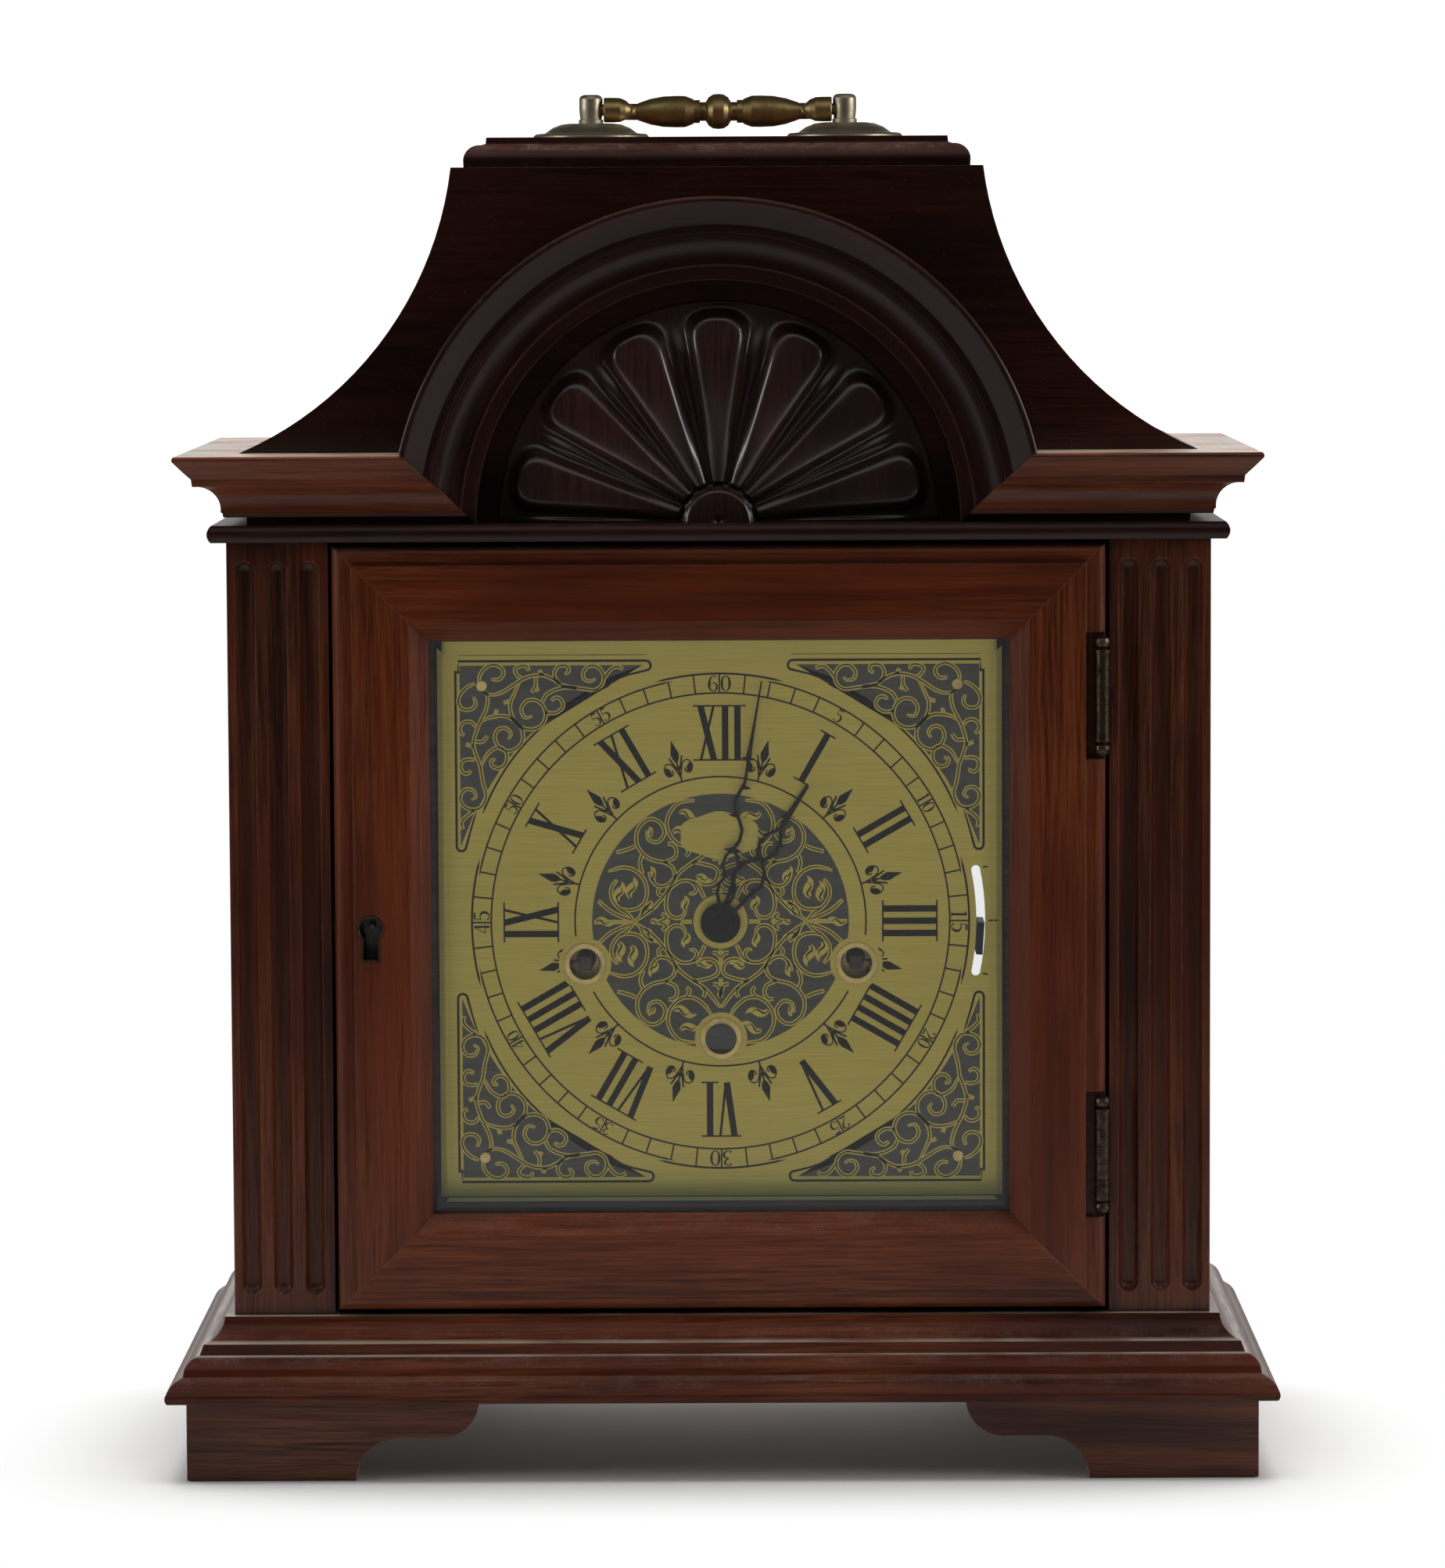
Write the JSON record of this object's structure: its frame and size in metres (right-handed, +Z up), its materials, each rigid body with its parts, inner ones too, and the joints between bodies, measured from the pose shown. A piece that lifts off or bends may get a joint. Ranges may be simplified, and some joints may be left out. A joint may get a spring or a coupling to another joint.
{
  "type": "bracket clock",
  "caption": "Bracket clock in a mahogany case with an arched front, concave-sided hood, brass carrying handle, glazed doors, etched dial and chiming movement",
  "frame": {"origin": "centre of the clock's footprint box, on the surface that it stands on", "axes": "+Z up, +X to the right as seen from the front, +Y from the dial towards the rear door"},
  "size_m": [0.3486, 0.1916, 0.4348],
  "materials": {
    "case_wood": "polished mahogany",
    "door_wood": "polished mahogany",
    "inner_wood": "plain stained wood",
    "carved_wood": "dark stained carving",
    "case_brass": "lacquered, lightly aged",
    "hinge_bronze": "dark bronze",
    "glass": "bevelled plate",
    "rear_glass": "plain sheet",
    "dial_metal": "brushed and etched",
    "hand_black": "black",
    "movement_brass": "polished",
    "steel": "bright steel",
    "iron": "grey casting"
  },
  "bodies": {
    "case": {"arch_moulding": "case_wood", "base_board": "inner_wood", "base_moulding": "case_wood", "case_hinges": "hinge_bronze", "chime_rods": "steel", "cornice_moulding": "case_wood", "dial_board": "inner_wood", "dial_fittings": "case_brass", "dial_plate": "dial_metal", "feet": "case_wood", "gong_block": "iron", "handle_mounts": "case_brass", "hood_boards": "case_wood", "hood_shell": "case_wood", "movement_frame": "movement_brass", "necking_board": "case_wood", "pilasters": "case_wood", "platform": "movement_brass", "rear_case_hinges": "case_brass", "shell_carving": "carved_wood", "shell_panel": "carved_wood", "side_panels": "case_wood", "strike_plate": "case_brass", "top_cap": "case_wood"},
    "front_door": {"door_stiles": "door_wood", "door_rails": "door_wood", "door_glass": "glass", "door_glass_beads": "door_wood", "keyhole_liner": "hinge_bronze", "lock_case": "steel", "door_hinge_leaves": "hinge_bronze"},
    "bolt": {"lock_bolt": "case_brass"},
    "rear_door": {"rear_door_frame": "case_wood", "rear_glass": "rear_glass", "rear_knob": "case_brass", "rear_door_hinges": "case_brass"},
    "handle": {"handle_bail": "case_brass"},
    "minute_group": {"minute_hand": "hand_black", "centre_arbor": "steel"},
    "hour_group": {"hour_hand": "hand_black", "hour_wheel": "movement_brass"},
    "motion_wheel": {"minute_wheel": "movement_brass"},
    "intermediate_wheel": {"idle_wheel": "movement_brass"},
    "barrel_body_strike": {"barrel_strike": "movement_brass"},
    "arbor_body_strike": {"winding_arbor_strike": "steel"},
    "barrel_body_chime": {"barrel_chime": "movement_brass"},
    "arbor_body_chime": {"winding_arbor_chime": "steel"},
    "barrel_body_going": {"barrel_going": "movement_brass"},
    "arbor_body_going": {"winding_arbor_going": "steel"},
    "selector": {"selector_lever": "hand_black"},
    "drum": {"chime_drum": "movement_brass"},
    "hammer_body_1": {"hammer_1": "steel"},
    "hammer_body_2": {"hammer_2": "steel"},
    "hammer_body_3": {"hammer_3": "steel"},
    "hammer_body_4": {"hammer_4": "steel"},
    "hammer_body_5": {"hammer_5": "steel"},
    "hammer_body_6": {"hammer_6": "steel"},
    "hammer_body_7": {"hammer_7": "steel"},
    "hammer_body_8": {"hammer_8": "steel"},
    "balance": {"balance_wheel": "movement_brass"}
  },
  "joints": [
    {"name": "front_door_hinge", "type": "hinge", "parent": "case", "child": "front_door", "pos_m": [0.1196, -0.07802, 0.1724], "axis": [0, 0, 1], "range_deg": [0, 170]},
    {"name": "lock_bolt_slide", "type": "slide", "parent": "front_door", "child": "bolt", "axis": [-1, 0, 0], "range_m": [0, 0.004]},
    {"name": "rear_door_hinge", "type": "hinge", "parent": "case", "child": "rear_door", "pos_m": [0.141, 0.08758, 0.1724], "axis": [0, 0, -1], "range_deg": [0, 120]},
    {"name": "handle_fold", "type": "hinge", "parent": "case", "child": "handle", "pos_m": [0, 0.01337, 0.429], "axis": [1, 0, 0], "range_deg": [0, 180]},
    {"name": "minute_turn", "type": "hinge", "parent": "case", "child": "minute_group", "pos_m": [0, -0.01463, 0.1725], "axis": [0, 1, 0], "continuous": true},
    {"name": "hour_turn", "type": "hinge", "parent": "case", "child": "hour_group", "pos_m": [0, -0.04963, 0.1725], "axis": [0, 1, 0], "continuous": true},
    {"name": "motion_wheel_turn", "type": "hinge", "parent": "case", "child": "motion_wheel", "pos_m": [-0.01247, -0.04562, 0.1797], "axis": [0, 1, 0], "continuous": true},
    {"name": "intermediate_turn", "type": "hinge", "parent": "case", "child": "intermediate_wheel", "pos_m": [0.00923, -0.01463, 0.16067], "axis": [0, 1, 0], "continuous": true},
    {"name": "barrel_turn_strike", "type": "hinge", "parent": "case", "child": "barrel_body_strike", "pos_m": [-0.0429, -0.01463, 0.1592], "axis": [0, 1, 0], "continuous": true},
    {"name": "winding_turn_strike", "type": "hinge", "parent": "case", "child": "arbor_body_strike", "pos_m": [-0.0429, -0.01463, 0.1592], "axis": [0, 1, 0], "continuous": true},
    {"name": "barrel_turn_chime", "type": "hinge", "parent": "case", "child": "barrel_body_chime", "pos_m": [0.0429, -0.01463, 0.1592], "axis": [0, 1, 0], "continuous": true},
    {"name": "winding_turn_chime", "type": "hinge", "parent": "case", "child": "arbor_body_chime", "pos_m": [0.0429, -0.01463, 0.1592], "axis": [0, 1, 0], "continuous": true},
    {"name": "barrel_turn_going", "type": "hinge", "parent": "case", "child": "barrel_body_going", "pos_m": [0, -0.01463, 0.1353], "axis": [0, 1, 0], "continuous": true},
    {"name": "winding_turn_going", "type": "hinge", "parent": "case", "child": "arbor_body_going", "pos_m": [0, -0.01463, 0.1353], "axis": [0, 1, 0], "continuous": true},
    {"name": "selector_turn", "type": "hinge", "parent": "case", "child": "selector", "pos_m": [0, -0.04213, 0.1725], "axis": [0, 1, 0], "range_deg": [-12, 4.5]},
    {"name": "drum_turn", "type": "hinge", "parent": "case", "child": "drum", "pos_m": [0.0469, -0.01463, 0.12841], "axis": [0, 1, 0], "continuous": true},
    {"name": "hammer_lift_1", "type": "hinge", "parent": "case", "child": "hammer_body_1", "pos_m": [0.064, -0.02962, 0.128], "axis": [0, -1, 0], "range_deg": [0, 14], "stiffness_Nm_per_rad": 0.002},
    {"name": "hammer_lift_2", "type": "hinge", "parent": "case", "child": "hammer_body_2", "pos_m": [0.064, -0.02442, 0.128], "axis": [0, -1, 0], "range_deg": [0, 14], "stiffness_Nm_per_rad": 0.002},
    {"name": "hammer_lift_3", "type": "hinge", "parent": "case", "child": "hammer_body_3", "pos_m": [0.064, -0.01922, 0.128], "axis": [0, -1, 0], "range_deg": [0, 14], "stiffness_Nm_per_rad": 0.002},
    {"name": "hammer_lift_4", "type": "hinge", "parent": "case", "child": "hammer_body_4", "pos_m": [0.064, -0.01402, 0.128], "axis": [0, -1, 0], "range_deg": [0, 14], "stiffness_Nm_per_rad": 0.002},
    {"name": "hammer_lift_5", "type": "hinge", "parent": "case", "child": "hammer_body_5", "pos_m": [0.064, -0.00882, 0.128], "axis": [0, -1, 0], "range_deg": [0, 14], "stiffness_Nm_per_rad": 0.002},
    {"name": "hammer_lift_6", "type": "hinge", "parent": "case", "child": "hammer_body_6", "pos_m": [0.064, -0.00363, 0.128], "axis": [0, -1, 0], "range_deg": [0, 14], "stiffness_Nm_per_rad": 0.002},
    {"name": "hammer_lift_7", "type": "hinge", "parent": "case", "child": "hammer_body_7", "pos_m": [0.064, 0.00158, 0.128], "axis": [0, -1, 0], "range_deg": [0, 14], "stiffness_Nm_per_rad": 0.002},
    {"name": "hammer_lift_8", "type": "hinge", "parent": "case", "child": "hammer_body_8", "pos_m": [0.064, 0.00677, 0.128], "axis": [0, -1, 0], "range_deg": [0, 14], "stiffness_Nm_per_rad": 0.002},
    {"name": "balance_swing", "type": "hinge", "parent": "case", "child": "balance", "pos_m": [0, 0.01837, 0.216], "axis": [0, 1, 0], "range_deg": [-135, 135], "stiffness_Nm_per_rad": 0.0001}
  ],
  "couplings": [
    {"joint": "hour_turn", "follows": "minute_turn", "ratio": 0.083333},
    {"joint": "motion_wheel_turn", "follows": "minute_turn", "ratio": -0.33333},
    {"joint": "intermediate_turn", "follows": "minute_turn", "ratio": -0.25},
    {"joint": "barrel_turn_going", "follows": "minute_turn", "ratio": 0.0625},
    {"joint": "drum_turn", "follows": "barrel_turn_chime", "ratio": -2.2857}
  ]
}
